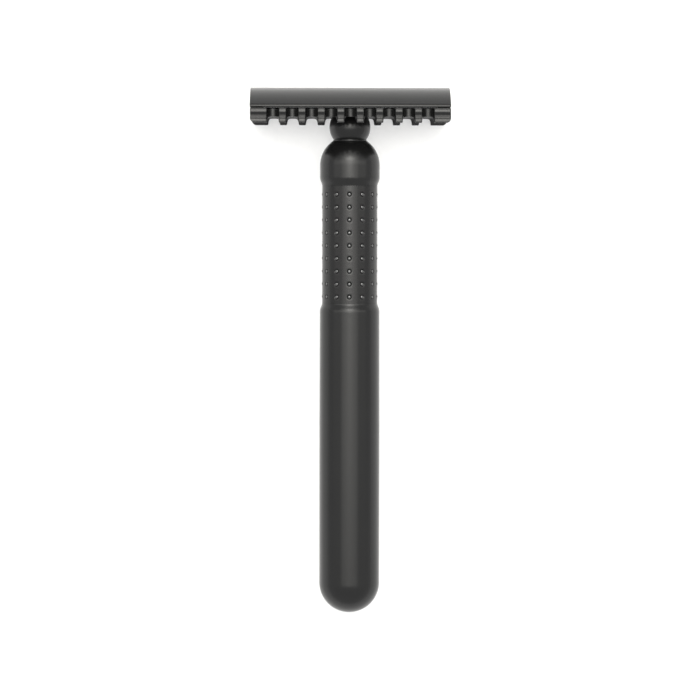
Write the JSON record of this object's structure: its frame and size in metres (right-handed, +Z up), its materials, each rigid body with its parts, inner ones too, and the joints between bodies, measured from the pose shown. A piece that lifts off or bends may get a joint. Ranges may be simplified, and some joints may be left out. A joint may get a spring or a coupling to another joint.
{
  "type": "safety razor",
  "caption": "Matte black double-edge safety razor with an open comb, ball neck and dotted grip.",
  "frame": {"origin": "on the floor under the middle of the razor's box, as it lies on one comb and on its domed end", "axes": "+Y along the handle towards the head, +X along the head, +Z up from the floor"},
  "size_m": [0.0432, 0.1142, 0.0247],
  "materials": {
    "black_coating": "matte",
    "blade_steel": "satin",
    "rod_steel": "satin",
    "insert_brass": "satin"
  },
  "bodies": {
    "handle": {"neck_collar": "black_coating", "thread_insert": "insert_brass", "shoulder": "black_coating", "grip_sleeve": "black_coating", "barrel": "black_coating", "core_rod": "rod_steel"},
    "plate": {"base_plate": "black_coating"},
    "blade": {"razor_blade": "blade_steel"},
    "cap": {"top_cap": "black_coating", "threaded_stud": "black_coating", "locating_pin_left": "black_coating", "locating_pin_right": "black_coating"}
  },
  "joints": [
    {"name": "head_turn", "type": "hinge", "parent": "handle", "child": "plate", "pos_m": [0, 0.05071, 0.01235], "axis": [0, 0.9984, 0.0574], "range_deg": [0, 2880]},
    {"name": "cap_lift", "type": "slide", "parent": "plate", "child": "cap", "axis": [0, 0.9984, 0.0574], "range_m": [0, 0.00641]},
    {"name": "blade_lift", "type": "slide", "parent": "plate", "child": "blade", "axis": [0, 0.9984, 0.0574], "range_m": [0, 0.00321]}
  ],
  "couplings": [
    {"joint": "cap_lift", "follows": "head_turn", "m_per_rad": 0.00012732},
    {"joint": "blade_lift", "follows": "head_turn", "m_per_rad": 0.000063662}
  ]
}
